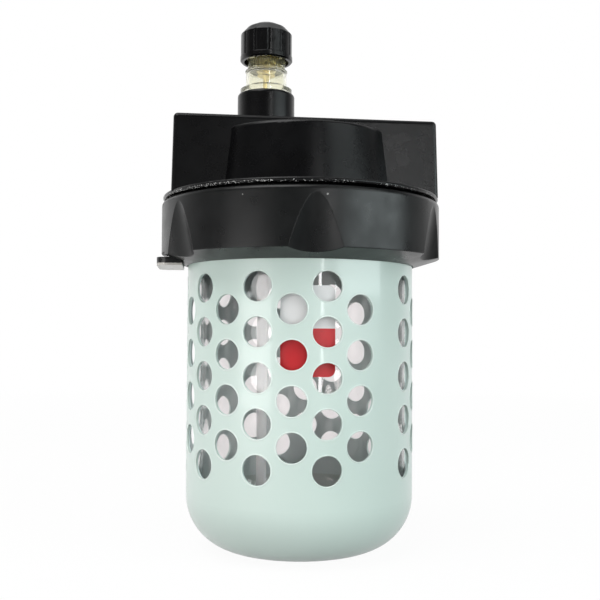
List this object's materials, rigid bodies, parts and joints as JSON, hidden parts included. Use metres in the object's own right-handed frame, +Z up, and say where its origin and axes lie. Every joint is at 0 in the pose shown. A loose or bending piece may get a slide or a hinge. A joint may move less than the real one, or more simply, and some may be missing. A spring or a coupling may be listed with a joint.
{
  "type": "air line lubricator",
  "caption": "Compressed air line lubricator: cast port head with sight dome and drip knob, threaded clamp ring, clear oil bowl inside a perforated steel guard.",
  "frame": {"origin": "centre of the guard's flat bottom face, on the bowl's axis", "axes": "+Z up along the bowl's axis; X along the air line through both ports; -Y is the front, with the round boss and the label"},
  "size_m": [0.1314, 0.1296, 0.2449],
  "materials": {
    "head_paint": "satin",
    "ring_paint": "satin",
    "guard_enamel": "gloss",
    "clear_bowl": "gloss",
    "label_film": "gloss",
    "fibre": "matte",
    "rubber": "matte",
    "steel": "satin",
    "spring_steel": "satin",
    "dome_plastic": "gloss",
    "brass": "satin",
    "bronze": "matte",
    "knob_plastic": "gloss",
    "tube_plastic": "satin"
  },
  "bodies": {
    "bowl_group": {"bowl_guard": "guard_enamel", "bowl": "clear_bowl", "bowl_label": "label_film", "guard_cushion": "fibre", "bowl_seal": "rubber"},
    "ring": {"clamp_ring": "ring_paint", "lock_grip": "rubber"},
    "lock": {"lock_plate": "ring_paint", "lock_pin": "steel"},
    "head": {"body_casting": "head_paint", "sight_dome": "dome_plastic", "dome_seal": "rubber", "drip_spout": "brass", "needle_seal": "rubber", "riser_tube": "brass", "siphon_tube": "tube_plastic", "pickup_strainer": "bronze", "check_seat": "brass", "check_ball": "steel", "bowl_jet": "brass", "venturi_insert": "brass", "flow_vane": "spring_steel", "fill_plug_seal": "rubber"},
    "knob": {"adjusting_knob": "knob_plastic", "knob_insert": "brass"},
    "needle": {"metering_needle": "brass"},
    "plug": {"fill_plug": "steel"}
  },
  "joints": [
    {"name": "ring_turn", "type": "hinge", "parent": "bowl_group", "child": "ring", "pos_m": [0, 0, 0.145], "axis": [0, 0, -1], "range_deg": [0, 1081]},
    {"name": "head_lift", "type": "slide", "parent": "bowl_group", "child": "head", "axis": [0, 0, 1], "range_m": [0, 0.0105]},
    {"name": "lock_slide", "type": "slide", "parent": "ring", "child": "lock", "axis": [0, 0, 1], "range_m": [0, 0.002]},
    {"name": "knob_turn", "type": "hinge", "parent": "head", "child": "knob", "pos_m": [-0.0167, 0, 0.238], "axis": [0, 0, -1], "range_deg": [0, 901]},
    {"name": "needle_lift", "type": "slide", "parent": "knob", "child": "needle", "axis": [0, 0, 1], "range_m": [0, 0.00125]},
    {"name": "fill_plug_turn", "type": "hinge", "parent": "head", "child": "plug", "pos_m": [0.022, 0.015, 0.196], "axis": [0, 0, 1], "range_deg": [0, 1080]}
  ],
  "couplings": [
    {"joint": "ring_turn", "follows": "head_lift", "rad_per_m": 1795.2},
    {"joint": "knob_turn", "follows": "needle_lift", "rad_per_m": 12566}
  ]
}
